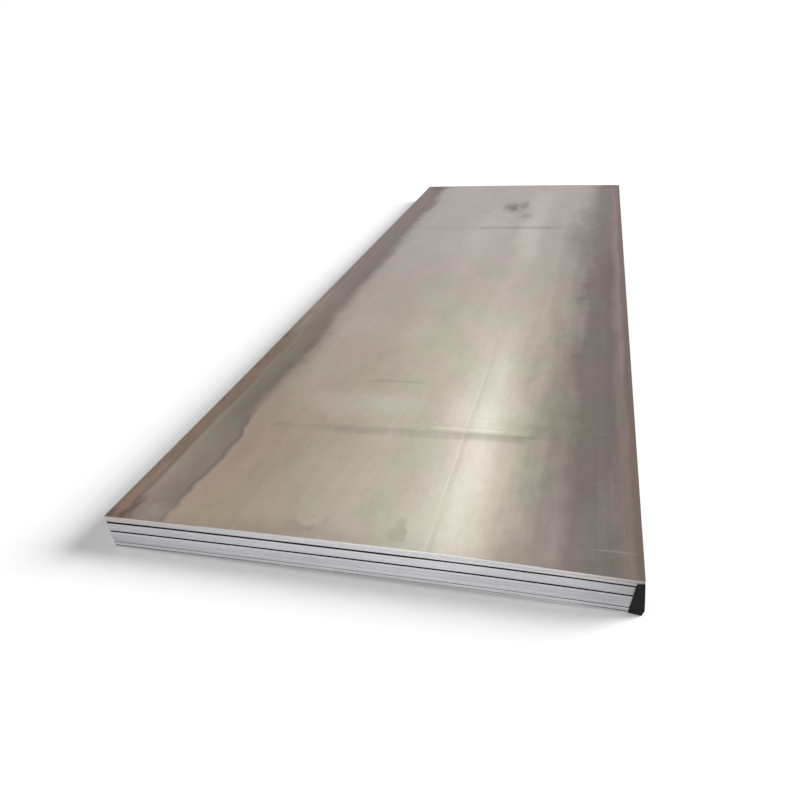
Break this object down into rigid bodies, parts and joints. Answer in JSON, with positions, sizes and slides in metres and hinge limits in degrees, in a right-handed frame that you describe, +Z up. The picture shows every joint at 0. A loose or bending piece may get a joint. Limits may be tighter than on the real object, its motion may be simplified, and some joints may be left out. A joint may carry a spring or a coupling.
{
  "type": "stack of steel plates",
  "caption": "Stack of long, heavy rolled steel plates lying flat, their ends slightly crowned and sprung apart, with a black rubber guard at the overhanging front corner.",
  "frame": {"origin": "on the floor, under the centre of the stack", "axes": "+X across the plates, +Y along the rolling direction away from the front end, +Z up through the stack"},
  "size_m": [2.008, 6.004, 0.1567],
  "materials": {
    "rolled_steel": "satin bare rolled steel face, dull heat-tinted oxide bands along both long edges, faint cross marks",
    "sheared_steel": "bright sheared edges with fine lengthwise striations, covered rolled faces dull, with grime along their edges",
    "black_rubber": "matt black moulded rubber"
  },
  "bodies": {
    "root": {"top_plate": "rolled_steel", "second_plate": "sheared_steel", "third_plate": "sheared_steel", "fourth_plate": "sheared_steel", "fifth_plate": "sheared_steel", "bottom_plate": "sheared_steel", "corner_guard": "black_rubber"}
  },
  "joints": []
}
